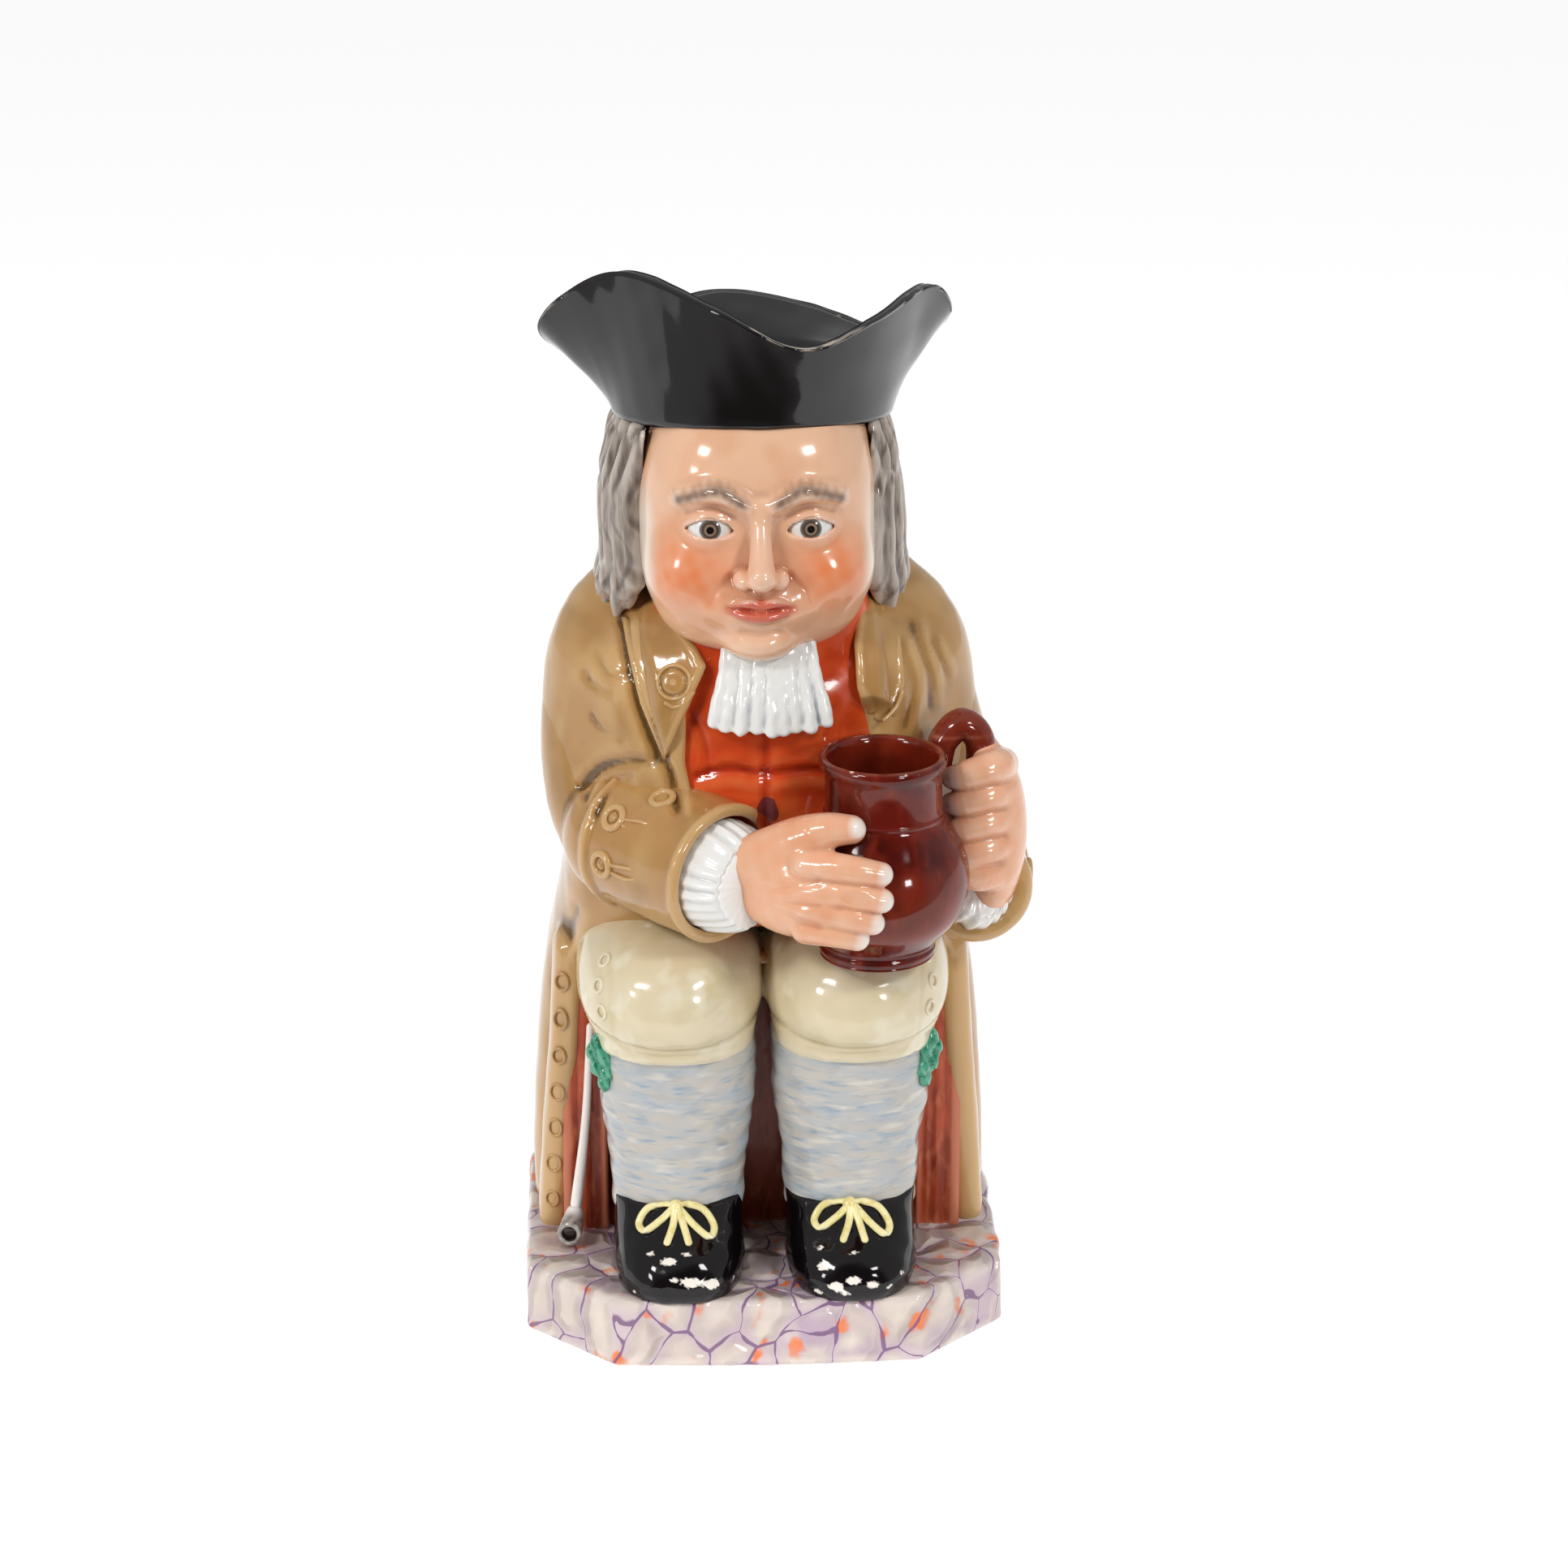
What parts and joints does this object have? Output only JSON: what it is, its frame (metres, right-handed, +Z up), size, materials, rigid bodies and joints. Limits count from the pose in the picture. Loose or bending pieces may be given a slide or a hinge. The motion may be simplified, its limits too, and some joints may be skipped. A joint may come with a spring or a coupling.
{
  "type": "toby jug",
  "caption": "Hollow glazed earthenware ale jug in the form of a seated drinker in a three-cornered hat, with an open crown to pour from and a loop handle behind.",
  "frame": {"origin": "middle of the plinth's flat underside", "axes": "+Z up through the hat, -Y the way the figure faces, +X towards the figure's left hand, which holds the small jug's handle"},
  "size_m": [0.1164, 0.1382, 0.2449],
  "materials": {
    "glazed_earthenware": "glossy",
    "hat_enamel": "glossy",
    "skin_enamel": "glossy",
    "hair_enamel": "glossy",
    "coat_enamel": "glossy",
    "waistcoat_enamel": "glossy",
    "linen_enamel": "glossy",
    "breeches_enamel": "glossy",
    "stocking_enamel": "glossy",
    "garter_enamel": "glossy",
    "shoe_enamel": "glossy",
    "lace_enamel": "glossy",
    "ale_jug_enamel": "glossy",
    "seat_enamel": "glossy",
    "pipe_glaze": "glossy"
  },
  "bodies": {
    "root": {"toby_jug": "glazed_earthenware"}
  },
  "joints": []
}
